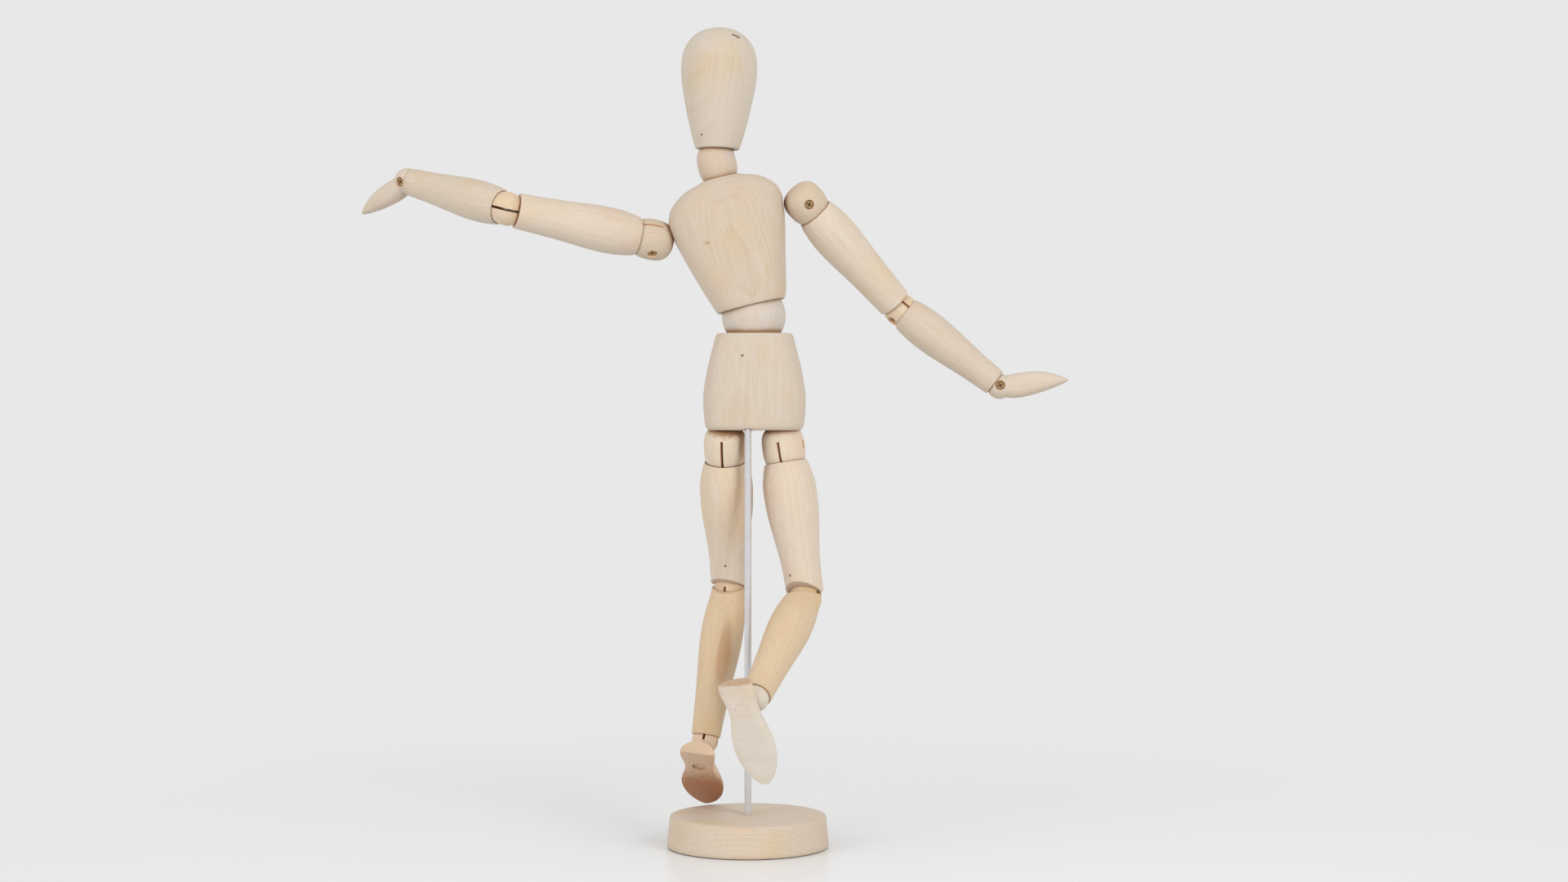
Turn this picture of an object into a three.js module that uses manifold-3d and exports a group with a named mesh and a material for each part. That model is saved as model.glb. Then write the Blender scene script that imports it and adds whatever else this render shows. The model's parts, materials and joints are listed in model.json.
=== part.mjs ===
// Jointed wooden artist's figure on a round base, held by a thin steel rod.
// Millimetres, +Z up. The origin is the centre of the base's underside; the
// rod stands on the Z axis and the figure's chest looks along +Y.
import * as THREE from 'three';
import { mergeVertices } from 'three/addons/utils/BufferGeometryUtils.js';
import Module from 'manifold-3d';

const wasm = await Module();
wasm.setup();

const vec = (x, y, z) => new THREE.Vector3(x, y, z);

// ---- Driving dimensions -------------------------------------------------
const GAP = 0.3;
const SEAT_GAP = 0.2;
const BASE = { topRadius: 31.5, bottomRadius: 32.5, height: 13, edge: 1 };
const ROD = { radius: 1.5, bottom: 5, top: 178 };
const BALL = {
  waist: 13, neck: 7.85, shoulder: 8.5, elbow: 6.5, wrist: 5.2, hip: 8.5, knee: 6.4, ankle: 5.4,
};
const KERF = 1.1;
const KERF_PAST_CENTRE = 2.3;
const SCREW = { shank: 0.7, head: 1.65, headDepth: 1, sink: 0.8, clearance: 0.25, slot: 0.5 };
const TAB = { thickness: 0.5, eye: 1.9, hole: 1.0, tail: 0.8 };
const PIN = { radius: 0.6, length: 8, hole: 0.85 };
const BORE = { arm: 2.8, spine: 3.4, wrist: 2.3 };
const SPRING = { coil: 1.9, wire: 0.4, turns: 7, stepsPerTurn: 7 };
const PEG = { radius: 2, reach: 15 };
const ELBOW_RELIEF = { rise: 2.4, angle: 24 };
const THIGH_RELIEF = { rise: 0.7, angle: 37 };
const SHIN_RELIEF = { left: { rise: -1.3, angle: 35 }, right: { rise: 0.5, angle: 42 } };

// Joint centres at rest
const WAIST = vec(2.2, 10, 213.8);
const PELVIS_CENTRE = vec(2.5, 10, 0);
const HIPS = [vec(-9.4, 10, 160.3), vec(14.3, 10, 160.3)];
const NECK_ABOVE_WAIST = 63.5;
const SHOULDER_ABOVE_WAIST = 40;
const SHOULDER_OUT = { left: 33, right: 31.2 };
const LENGTH = { upperArm: 61, forearm: 51.5, hand: 29, thigh: 60.7, shin: 64.3 };

// Angles at rest, in degrees
const TOE_OUT = { left: 1, right: 4 };
const CHEST_LEAN = 13.6;
const HEAD_LEAN = -1.3;

// How the limbs point at rest: `down` runs along the limb and `side` is the way
// the head of the screw at its upper end looks. Below the shoulder and the hip a
// screw lies square to both limbs, so there `side` only says which end has the head.
const POSE = {
  left: {
    upperArm: { down: vec(-0.934, -0.31, 0.176), side: vec(-0.155, -0.7, -0.72) },
    forearm: { down: vec(-0.84, 0.475, 0.265), side: vec(0, 0, -1) },
    hand: { down: vec(-0.72, 0.53, -0.45), side: vec(0, -1, 0) },
    thigh: { down: vec(0.0214, 0.307, -0.952), side: vec(0.99, -0.14, -0.035) },
    shin: { down: vec(-0.149, -0.239, -0.96), side: vec(1, 0, 0) },
    foot: { down: vec(-0.177, -0.578, -0.797), side: vec(1, 0, 0) },
  },
  right: {
    upperArm: { down: vec(0.652, 0.285, -0.702), side: vec(0.1, -0.98, -0.1) },
    forearm: { down: vec(0.786, -0.07, -0.614), side: vec(0, 0, -1) },
    hand: { down: vec(0.996, -0.02, 0.06), side: vec(0, -1, 0) },
    thigh: { down: vec(0.148, -0.02, -0.989), side: vec(0.97, -0.24, 0.137) },
    shin: { down: vec(-0.31, -0.763, -0.567), side: vec(1, 0, 0) },
    foot: { down: vec(-0.392, -0.865, -0.311), side: vec(1, 0, 0) },
  },
};

// ---- Materials ----------------------------------------------------------
const wood = (color) => new THREE.MeshStandardMaterial({ color, roughness: 0.62, metalness: 0 });
const metal = (color, roughness) => new THREE.MeshStandardMaterial({ color, roughness, metalness: 1 });
const COLOUR = {
  limb: 0xe6d3bd, ball: 0xe3ccb0, base: 0xd9bc9c, brass: 0xb98f4a, steel: 0x9a9a98, rod: 0xc9c9c7,
};

// ---- Solids -------------------------------------------------------------
function solid(geometry) {
  const g = geometry.clone();
  g.deleteAttribute('normal');
  g.deleteAttribute('uv');
  const merged = mergeVertices(g, 1e-4);
  return new wasm.Manifold(new wasm.Mesh({
    numProp: 3,
    vertProperties: new Float32Array(merged.attributes.position.array),
    triVerts: new Uint32Array(merged.index.array),
  }));
}

function toGeometry(manifold) {
  const mesh = manifold.getMesh();
  const g = new THREE.BufferGeometry();
  g.setAttribute('position', new THREE.BufferAttribute(new Float32Array(mesh.vertProperties), 3));
  g.setIndex(new THREE.BufferAttribute(new Uint32Array(mesh.triVerts), 1));
  g.computeVertexNormals();
  return g;
}

const root = new THREE.Group();

function piece(name, manifold, material, parent) {
  const mesh = new THREE.Mesh(toGeometry(manifold), material);
  mesh.name = name;
  parent.add(mesh);
  return mesh;
}

// A body turned about Z from [radius, z] pairs listed from bottom to top
function turned(profile, segments) {
  const points = profile.map(([r, z]) => new THREE.Vector2(r, z));
  return new THREE.LatheGeometry(points, segments).rotateX(Math.PI / 2);
}

// A body whose level sections are rounded rectangles: [z, halfWidth, halfDepth]
function sectioned(sections, segments, power) {
  const profile = [[0, sections[0][0]], ...sections.map(([z]) => [1, z]), [0, sections.at(-1)[0]]];
  const geometry = turned(profile, segments);
  const at = geometry.attributes.position;
  for (let i = 0; i < at.count; i += 1) {
    const x = at.getX(i);
    const y = at.getY(i);
    if (Math.hypot(x, y) > 0.5) {
      const near = sections.reduce((a, b) => (
        Math.abs(b[0] - at.getZ(i)) < Math.abs(a[0] - at.getZ(i)) ? b : a));
      const reach = (Math.abs(x) ** power + Math.abs(y) ** power) ** (-1 / power);
      at.setX(i, x * reach * near[1]);
      at.setY(i, y * reach * near[2]);
    }
  }
  return solid(geometry);
}

const sphere = (radius, centre = vec(0, 0, 0), across = 12, down = 8) => solid(
  new THREE.SphereGeometry(radius, across, down).rotateX(Math.PI / 2).translate(...centre));

// The hollow a ball turns in, wide enough for its flats to clear the ball
const seat = (radius, centre = vec(0, 0, 0), across = 12, down = 8) => sphere(
  (radius + SEAT_GAP) / (Math.cos(Math.PI / across) * Math.cos(Math.PI / down / 2)), centre, across, down);

// A round bar along Z between two heights
const bar = (radius, low, high, segments = 10) => solid(
  turned([[0, low], [radius, low], [radius, high], [0, high]], segments));

// The same bar lying along X
const crossBar = (radius, low, high, segments = 8) => solid(
  turned([[0, low], [radius, low], [radius, high], [0, high]], segments).rotateY(Math.PI / 2));

const block = (width, depth, height, centre) => solid(
  new THREE.BoxGeometry(width, depth, height).translate(...centre));

// Sets a group's -Z along `down` and its X as near as it can be to `side`.
function aim(group, origin, { down, side }) {
  const z = down.clone().negate().normalize();
  const x = side.clone().addScaledVector(z, -side.dot(z)).normalize();
  const y = vec(0, 0, 0).crossVectors(z, x);
  group.quaternion.setFromRotationMatrix(new THREE.Matrix4().makeBasis(x, y, z));
  group.position.copy(origin);
  root.add(group);
  return group;
}

const along = (origin, { down }, length) => origin.clone().addScaledVector(
  down.clone().normalize(), length);

// ---- Joint hardware -----------------------------------------------------
// Screw lying along X with its head at +X, sunk into a ball of this radius
function screwSolid(ballRadius) {
  const top = ballRadius - SCREW.sink;
  const under = top - SCREW.headDepth;
  const profile = [
    [0, -ballRadius * 0.55], [SCREW.shank, -ballRadius * 0.55], [SCREW.shank, under],
    [SCREW.head, under], [SCREW.head, top], [0, top],
  ];
  const body = solid(turned(profile, 8).rotateY(Math.PI / 2));
  const reach = SCREW.head * 1.3;
  const depth = vec(top, 0, 0);
  return body
    .subtract(block(SCREW.slot * 2, SCREW.slot, reach, depth))
    .subtract(block(SCREW.slot * 2, reach, SCREW.slot, depth));
}

// The hole a screw needs: shank bore and counterbore for its head
function screwHole(ballRadius) {
  const floor = ballRadius - SCREW.sink - SCREW.headDepth - GAP;
  return crossBar(SCREW.shank + SCREW.clearance, -ballRadius * 0.55 - GAP, ballRadius + 1)
    .add(crossBar(SCREW.head + GAP, floor, ballRadius + 1));
}

// The saw cut a tab swings in; `toward` is +1 when it opens at +Z
const kerfCut = (ballRadius, toward) => block(KERF, ballRadius * 3, ballRadius * 2, vec(
  0, 0, toward * (ballRadius - KERF_PAST_CENTRE)));

// Flat steel tab: an eye round the screw at the origin, a strap and a thin tail along -Z
function tabSolid(strap, tail, eye = TAB.eye) {
  const shape = new THREE.Shape();
  const half = TAB.tail;
  shape.absarc(0, 0, eye, -0.35 * Math.PI, 1.35 * Math.PI, false);
  shape.lineTo(-eye * 0.6, -strap);
  shape.lineTo(-half, -strap - 1);
  shape.lineTo(-half, -tail);
  shape.lineTo(half, -tail);
  shape.lineTo(half, -strap - 1);
  shape.lineTo(eye * 0.6, -strap);
  const hole = new THREE.Path();
  hole.absarc(0, 0, TAB.hole, 0, 2 * Math.PI, true);
  shape.holes.push(hole);
  const geometry = new THREE.ExtrudeGeometry(shape, {
    depth: TAB.thickness, bevelEnabled: false, curveSegments: 4,
  });
  geometry.translate(0, 0, -TAB.thickness / 2);
  geometry.rotateX(Math.PI / 2);
  geometry.rotateZ(Math.PI / 2);
  return solid(geometry);
}

// Tension spring along Z
class Coil extends THREE.Curve {
  constructor(low, high) {
    super();
    this.low = low;
    this.high = high;
  }

  getPoint(t, target = vec(0, 0, 0)) {
    const angle = t * SPRING.turns * 2 * Math.PI;
    return target.set(
      SPRING.coil * Math.cos(angle), SPRING.coil * Math.sin(angle), this.low + t * (this.high - this.low));
  }
}

function springSolid(low, high) {
  const w = SPRING.wire;
  const section = new THREE.Shape([[-w, 0], [0, -w], [w, 0], [0, w]].map(([x, y]) => new THREE.Vector2(x, y)));
  return solid(new THREE.ExtrudeGeometry(section, {
    steps: SPRING.turns * SPRING.stepsPerTurn,
    bevelEnabled: false,
    extrudePath: new Coil(low, high),
  }));
}

// A plain brad along +Y whose outer end lies at the origin
const bradSolid = () => solid(turned([
  [0, 0], [PIN.radius, 0], [PIN.radius, PIN.length], [0, PIN.length]], 8).rotateX(-Math.PI / 2));
const bradHole = () => solid(turned([
  [0, -3], [PIN.hole, -3], [PIN.hole, PIN.length + GAP], [0, PIN.length + GAP]], 8).rotateX(-Math.PI / 2));

// ---- Limb pieces --------------------------------------------------------
// Profiles are [distance below the upper joint, radius]
const PROFILE = {
  upperArm: [[6.3, 7.7], [8.5, 8.3], [14, 9.1], [20, 9.3], [27, 9.0], [36, 8.2], [46, 7.6], [56.6, 7.1]],
  forearm: [[2.4, 7.0], [6, 7.7], [12, 8.2], [19, 8.1], [27, 7.4], [37, 6.4], [49, 5.6]],
  thigh: [[6, 8.2], [9, 9.6], [14, 10.6], [20, 10.8], [28, 10.4], [37, 9.2], [47, 8.0], [60, 7.5]],
  shin: [[0.7, 7.0], [6, 7.5], [12, 8.3], [20, 8.7], [28, 8.4], [38, 7.5], [50, 6.6], [62.3, 5.9]],
};

function limbSolid(profile, upper, lower, length) {
  const ring = profile.map(([z, r]) => [r, -z]).reverse();
  const body = solid(turned([[0, ring[0][1]], ...ring, [0, ring.at(-1)[1]]], 14));
  return body
    .subtract(seat(upper))
    .subtract(seat(lower, vec(0, 0, -length)));
}

// Chamfer that relieves one side of a limb's rim so that the joint can fold. The flat leaves the
// axis `rise` into the limb and goes deeper at `angle` towards `side` (+1 or -1 in Y); `end` is
// +1 at a limb's upper end and -1 at its lower end.
function relief({ rise, angle }, side, end) {
  const cutter = new THREE.BoxGeometry(40, 40, 20).translate(0, 0, end * 10);
  cutter.rotateX(-end * side * THREE.MathUtils.degToRad(angle));
  return solid(cutter.translate(0, 0, -end * rise));
}

// ---- Base and rod -------------------------------------------------------
const { topRadius, bottomRadius, height, edge } = BASE;
piece('base_disc', solid(turned([
  [0, 0], [bottomRadius - edge, 0], [bottomRadius, edge], [topRadius, height - edge],
  [topRadius - edge, height], [0, height],
], 40)).subtract(bar(ROD.radius + GAP, ROD.bottom - GAP, height + 1)), wood(COLOUR.base), root);
piece('stand_rod', bar(ROD.radius, ROD.bottom, ROD.top), metal(COLOUR.rod, 0.3), root);

// ---- Pelvis -------------------------------------------------------------
const PELVIS_BOTTOM = 167.3;
const PELVIS_SECTIONS = [
  [0, 18.2, 11.6], [0.9, 19.4, 12.6], [3.5, 20.3, 13.2], [14, 20.8, 13.6], [25, 19.1, 13.5],
  [34, 16.9, 13.2], [38.2, 15.8, 12.9], [39.2, 15, 12.3],
];
const pelvis = new THREE.Group();
pelvis.position.set(PELVIS_CENTRE.x, PELVIS_CENTRE.y, PELVIS_BOTTOM);
root.add(pelvis);
const inPelvis = (p) => p.clone().sub(pelvis.position);
const PELVIS_PIN = vec(-4.7, -13.4, 30);
let pelvisBody = sectioned(PELVIS_SECTIONS, 20, 3)
  .subtract(seat(BALL.waist, inPelvis(WAIST), 18, 12));
HIPS.forEach((hip) => {
  pelvisBody = pelvisBody.subtract(seat(BALL.hip, inPelvis(hip)));
});
pelvisBody = pelvisBody
  .subtract(bar(ROD.radius + GAP, -1, ROD.top - PELVIS_BOTTOM + GAP).translate(
    -pelvis.position.x, -pelvis.position.y, 0))
  .subtract(bar(1.2 + GAP, 21, 36).translate(inPelvis(WAIST).x, 0, 0))
  .subtract(bradHole().translate(...PELVIS_PIN));
piece('pelvis', pelvisBody, wood(COLOUR.limb), pelvis);
piece('pelvis_pin', bradSolid(), metal(COLOUR.steel, 0.4), pelvis).position.copy(PELVIS_PIN);

// ---- Ball on a spindle (waist and neck) ---------------------------------
// The spindle stands below the ball's centre; the ball is hollowed in a cone so that it can rock on it.
function spindleJoint(name, radius, spindle, parent, across, down) {
  const cone = solid(turned([[0, -radius * 1.2], [radius * 0.8, -radius * 1.2], [0, radius * 0.3]], 12));
  piece(`${name}_ball`, sphere(radius, vec(0, 0, 0), across, down).subtract(cone), wood(COLOUR.ball), parent);
  piece(`${name}_link`, bar(spindle.radius, -spindle.length, -0.2, 8), metal(COLOUR.steel, 0.4), parent);
}

const chest = new THREE.Group();
chest.position.copy(WAIST);
chest.rotation.y = THREE.MathUtils.degToRad(-CHEST_LEAN);
root.add(chest);
chest.updateMatrixWorld();

const waist = new THREE.Group();
waist.position.copy(WAIST);
root.add(waist);
spindleJoint('waist', BALL.waist, { radius: 1.2, length: 24 }, waist, 18, 12);

const neck = new THREE.Group();
neck.position.set(0, 0, NECK_ABOVE_WAIST);
chest.add(neck);
spindleJoint('neck', BALL.neck, { radius: 0.9, length: 14 }, neck, 14, 10);

// ---- Chest --------------------------------------------------------------
const CHEST_SECTIONS = [
  [4.2, 13.8, 13.5], [5, 14.4, 13.9], [8, 15.5, 14.2], [15, 17.5, 14.4], [26, 20.4, 14.4],
  [35, 22.3, 14.2], [43, 23.3, 13.8], [48.3, 22.4, 13.2], [52, 20.3, 12.2], [55.7, 15.4, 10.4],
  [57.6, 9.6, 8.6], [58.2, 7.6, 7.4],
];
let chestBody = sectioned(CHEST_SECTIONS, 20, 2.7)
  .subtract(seat(BALL.waist, vec(0, 0, 0), 18, 12))
  .subtract(seat(BALL.neck, neck.position))
  .subtract(bar(BORE.spine, 8, NECK_ABOVE_WAIST));
[-SHOULDER_OUT.left, SHOULDER_OUT.right].forEach((out) => {
  chestBody = chestBody.subtract(seat(BALL.shoulder, vec(out, 0, SHOULDER_ABOVE_WAIST)));
});
piece('chest', chestBody, wood(COLOUR.limb), chest);
piece('spine_spring', springSolid(15, 48), metal(COLOUR.steel, 0.4), chest);

// ---- Head ---------------------------------------------------------------
const HEAD_PROFILE = [
  [8.9, 6.1], [10.4, 11], [12.2, 18], [13.9, 26], [15.1, 33], [15.45, 39], [14.9, 44.5],
  [12.8, 49.3], [9.2, 52.9], [4.7, 54.9],
];
const HEAD_TOP = 55.5;
const head = new THREE.Group();
head.position.copy(neck.getWorldPosition(vec(0, 0, 0)));
head.rotation.y = THREE.MathUtils.degToRad(-HEAD_LEAN);
root.add(head);
const headPin = new THREE.Group();
headPin.position.z = 12.6;
headPin.rotation.z = THREE.MathUtils.degToRad(-37);
head.add(headPin);
const HEAD_PIN_OUT = -10.6;
piece('head', solid(turned([[0, HEAD_PROFILE[0][1]], ...HEAD_PROFILE, [0, HEAD_TOP]], 20))
  .subtract(seat(BALL.neck))
  .subtract(bradHole().translate(0, HEAD_PIN_OUT, 0).rotate(0, 0, -37).translate(0, 0, headPin.position.z)),
wood(COLOUR.limb), head);
piece('head_pin', bradSolid(), metal(COLOUR.steel, 0.4), headPin).position.y = HEAD_PIN_OUT;

// ---- Arms ---------------------------------------------------------------
// Mitten hand: outline across the screw axis, wrist ball at the origin, fingertips at -Z;
// the fuller edge is at +Y
const HAND_OUTLINE = [
  [-4.3, -1.5], [-5.1, -4.8], [-5.2, -7.5], [-4.4, -12.5], [-3.2, -18], [-1.6, -23], [0.2, -27.4],
  [0.9, -28.6], [1.6, -27.6], [2.6, -25.5], [3.8, -22.5], [4.8, -19], [5.3, -14.5], [5.1, -9],
  [4.6, -5], [4.1, -1.5],
];
const HAND_WIDTH = { left: 0.88, right: 1 };
const HAND_BODY = [[0, -29], [2.6, -29], [5, -22], [6.2, -12], [6.3, -6], [5.2, 0], [0, 0]];

function handSolid(fullEdge) {
  const shape = new THREE.Shape(HAND_OUTLINE.map(([y, z]) => new THREE.Vector2(y * fullEdge, z)));
  const body = solid(new THREE.ExtrudeGeometry(shape, { depth: 9, bevelEnabled: false })
    .translate(0, 0, -4.5).rotateX(Math.PI / 2).rotateZ(Math.PI / 2));
  return body.intersect(solid(turned(HAND_BODY, 12)))
    .add(sphere(BALL.wrist))
    .subtract(kerfCut(BALL.wrist, 1))
    .subtract(screwHole(BALL.wrist));
}

// The axis both limbs of a hinge share, looking the way `child.side` does
function hingeAxis(parent, child) {
  const axis = vec(0, 0, 0).crossVectors(parent.down, child.down).normalize();
  return axis.dot(child.side) < 0 ? axis.negate() : axis;
}

// A group at the lower end of a limb, turned about it so that its X is the next hinge
function lowerEnd(limb, axis, length) {
  const end = new THREE.Group();
  const local = axis.clone().applyQuaternion(limb.quaternion.clone().invert());
  end.rotation.z = Math.atan2(local.y, local.x);
  end.position.z = -length;
  limb.add(end);
  return end;
}

// A tab that reaches up into a limb from the screw below it
function risingTab(name, strap, tail, end) {
  const tab = piece(name, tabSolid(strap, tail), metal(COLOUR.steel, 0.4), end);
  tab.rotation.x = Math.PI;
}

function buildArm(side, sign, fold) {
  const pose = POSE[side];
  const elbowAxis = hingeAxis(pose.upperArm, pose.forearm);
  const wristAxis = hingeAxis(pose.forearm, pose.hand);
  const start = vec(sign * SHOULDER_OUT[side], 0, SHOULDER_ABOVE_WAIST).applyMatrix4(chest.matrixWorld);
  const elbowAt = along(start, pose.upperArm, LENGTH.upperArm);
  const wristAt = along(elbowAt, pose.forearm, LENGTH.forearm);
  const upperArm = aim(new THREE.Group(), start, pose.upperArm);
  const forearm = aim(new THREE.Group(), elbowAt, { down: pose.forearm.down, side: elbowAxis });
  const hand = aim(new THREE.Group(), wristAt, { down: pose.hand.down, side: wristAxis });
  const elbow = lowerEnd(upperArm, elbowAxis, LENGTH.upperArm);
  const wrist = lowerEnd(forearm, wristAxis, LENGTH.forearm);
  const elbowTurn = THREE.MathUtils.radToDeg(elbow.rotation.z);

  piece(`shoulder_ball_${side}`, sphere(BALL.shoulder)
    .subtract(kerfCut(BALL.shoulder, -1))
    .subtract(screwHole(BALL.shoulder)), wood(COLOUR.ball), upperArm);
  piece(`shoulder_screw_${side}`, screwSolid(BALL.shoulder), metal(COLOUR.brass, 0.4), upperArm);
  piece(`shoulder_tab_${side}`, tabSolid(12, 17), metal(COLOUR.steel, 0.4), upperArm);
  piece(`upper_arm_${side}`, limbSolid(PROFILE.upperArm, BALL.shoulder, BALL.elbow, LENGTH.upperArm)
    .subtract(bar(BORE.arm, -LENGTH.upperArm, 0))
    .subtract(relief(ELBOW_RELIEF, fold, -1).rotate(0, 0, elbowTurn).translate(0, 0, -LENGTH.upperArm)),
  wood(COLOUR.limb), upperArm);
  piece(`arm_spring_${side}`, springSolid(-46, -14.5), metal(COLOUR.steel, 0.4), upperArm);
  risingTab(`elbow_tab_${side}`, 10, 15, elbow);

  piece(`elbow_ball_${side}`, sphere(BALL.elbow).add(bar(PEG.radius, -PEG.reach, -3))
    .subtract(kerfCut(BALL.elbow, 1))
    .subtract(screwHole(BALL.elbow)), wood(COLOUR.ball), forearm);
  piece(`elbow_screw_${side}`, screwSolid(BALL.elbow), metal(COLOUR.brass, 0.4), forearm);
  piece(`forearm_${side}`, limbSolid(PROFILE.forearm, BALL.elbow, BALL.wrist, LENGTH.forearm)
    .subtract(bar(PEG.radius + GAP, -PEG.reach - GAP, 0))
    .subtract(bar(BORE.wrist, -LENGTH.forearm, -LENGTH.forearm + 16))
    .subtract(relief(ELBOW_RELIEF, fold, 1)), wood(COLOUR.limb), forearm);
  risingTab(`wrist_tab_${side}`, 9, 14, wrist);

  piece(`hand_${side}`, handSolid(sign * HAND_WIDTH[side]), wood(COLOUR.limb), hand);
  piece(`wrist_screw_${side}`, screwSolid(BALL.wrist), metal(COLOUR.brass, 0.4), hand);
}

// The elbows fold towards +Y, which is the far side of the left one's screw
buildArm('left', -1, 1);
buildArm('right', 1, -1);

// ---- Legs ---------------------------------------------------------------
// The foot is a turned body lying along Y, flatter towards the toes and cut off flat at the sole:
// [distance ahead of the ankle, half width, height above the sole]
const SOLE_LEVEL = -12.5;
const FOOT_SECTIONS = [
  [-11.4, 6.7, 5.4], [-10.8, 7.0, 5.8], [-8, 7.1, 6.9], [-4, 6.4, 8.1], [0, 5.9, 8.6], [4, 6.4, 8.2],
  [10, 8.1, 7.3], [15, 8.7, 6.5], [20, 8.1, 5.6], [24, 6.8, 4.8], [27.6, 4.7, 3.6], [29.8, 2.4, 2.3],
  [30.8, 0.8, 1],
];
const PLUG = { radius: 3, depth: 0.8 };

// The brad that pins each knee ball: height above the knee, distance out, turn about the thigh
const THIGH_PIN = {
  left: { height: 12.2, out: 7.9, turn: 9 },
  right: { height: 9.2, out: 7.6, turn: -13 },
};

function footSolid(toeOut) {
  const lying = sectioned(FOOT_SECTIONS, 16, 2).rotate(-90, 0, 0);
  const upper = lying.intersect(block(30, 60, 15, vec(0, 10, 7.5)));
  return upper.rotate(0, 0, -toeOut).translate(0, 0, SOLE_LEVEL)
    .add(sphere(BALL.ankle))
    .subtract(kerfCut(BALL.ankle, 1))
    .subtract(bar(PLUG.radius, SOLE_LEVEL - 1, SOLE_LEVEL + PLUG.depth));
}

function buildLeg(side, sign, start) {
  const pose = POSE[side];
  const kneeAxis = hingeAxis(pose.thigh, pose.shin);
  const ankleAxis = hingeAxis(pose.shin, pose.foot);
  const kneeAt = along(start, pose.thigh, LENGTH.thigh);
  const ankleAt = along(kneeAt, pose.shin, LENGTH.shin);
  const thigh = aim(new THREE.Group(), start, pose.thigh);
  const shin = aim(new THREE.Group(), kneeAt, { down: pose.shin.down, side: kneeAxis });
  const foot = aim(new THREE.Group(), ankleAt, { down: pose.foot.down, side: ankleAxis });
  const knee = lowerEnd(thigh, kneeAxis, LENGTH.thigh);
  const ankle = lowerEnd(shin, ankleAxis, LENGTH.shin);
  const kneeTurn = THREE.MathUtils.radToDeg(knee.rotation.z);

  // Hip and knee screws have their heads outside, ankle screws inside
  const outward = sign > 0 ? 0 : 180;
  const inward = 180 - outward;
  const turnedHole = (radius, turn) => screwHole(radius).rotate(0, 0, turn);
  const putScrew = (name, radius, turn, parent) => {
    const screw = piece(name, screwSolid(radius), metal(COLOUR.brass, 0.4), parent);
    screw.rotation.z = THREE.MathUtils.degToRad(turn);
  };

  piece(`hip_ball_${side}`, sphere(BALL.hip)
    .subtract(kerfCut(BALL.hip, -1))
    .subtract(turnedHole(BALL.hip, outward)), wood(COLOUR.ball), thigh);
  putScrew(`hip_screw_${side}`, BALL.hip, outward, thigh);
  piece(`hip_tab_${side}`, tabSolid(13, 20), metal(COLOUR.steel, 0.4), thigh);

  // The knee ball is pegged into the thigh and pinned from behind
  const { height, out, turn } = THIGH_PIN[side];
  const pinHole = bradHole().translate(0, -out, height).rotate(0, 0, turn);
  const pinSpot = new THREE.Group();
  pinSpot.rotation.z = THREE.MathUtils.degToRad(turn);
  knee.add(pinSpot);
  piece(`thigh_${side}`, limbSolid(PROFILE.thigh, BALL.hip, BALL.knee, LENGTH.thigh)
    .subtract(bar(BORE.arm, -30, 0))
    .subtract(bar(PEG.radius + GAP, -LENGTH.thigh, -LENGTH.thigh + PEG.reach + GAP))
    .subtract(pinHole.add(relief(THIGH_RELIEF, -1, -1)).rotate(0, 0, kneeTurn).translate(0, 0, -LENGTH.thigh)),
  wood(COLOUR.limb), thigh);
  piece(`knee_ball_${side}`, sphere(BALL.knee).add(bar(PEG.radius, 3, PEG.reach))
    .subtract(kerfCut(BALL.knee, -1))
    .subtract(turnedHole(BALL.knee, outward))
    .subtract(pinHole), wood(COLOUR.ball), knee);
  putScrew(`knee_screw_${side}`, BALL.knee, outward, knee);
  piece(`thigh_pin_${side}`, bradSolid(), metal(COLOUR.steel, 0.4), pinSpot)
    .position.set(0, -out, height);

  piece(`knee_tab_${side}`, tabSolid(11, 16), metal(COLOUR.steel, 0.4), shin);
  piece(`shin_${side}`, limbSolid(PROFILE.shin, BALL.knee, BALL.ankle, LENGTH.shin)
    .subtract(bar(BORE.wrist, -24, 0))
    .subtract(bar(BORE.wrist, -LENGTH.shin, -LENGTH.shin + 16))
    .subtract(relief(SHIN_RELIEF[side], -1, 1)), wood(COLOUR.limb), shin);
  risingTab(`ankle_tab_${side}`, 9, 14, ankle);

  piece(`foot_${side}`, footSolid(TOE_OUT[side])
    .subtract(turnedHole(BALL.ankle, inward)), wood(COLOUR.limb), foot);
  putScrew(`ankle_screw_${side}`, BALL.ankle, inward, foot);
}

buildLeg('left', -1, HIPS[0]);
buildLeg('right', 1, HIPS[1]);

export default root;
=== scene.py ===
import json
import math

import bmesh
import bpy
from mathutils import Matrix, Vector


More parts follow.
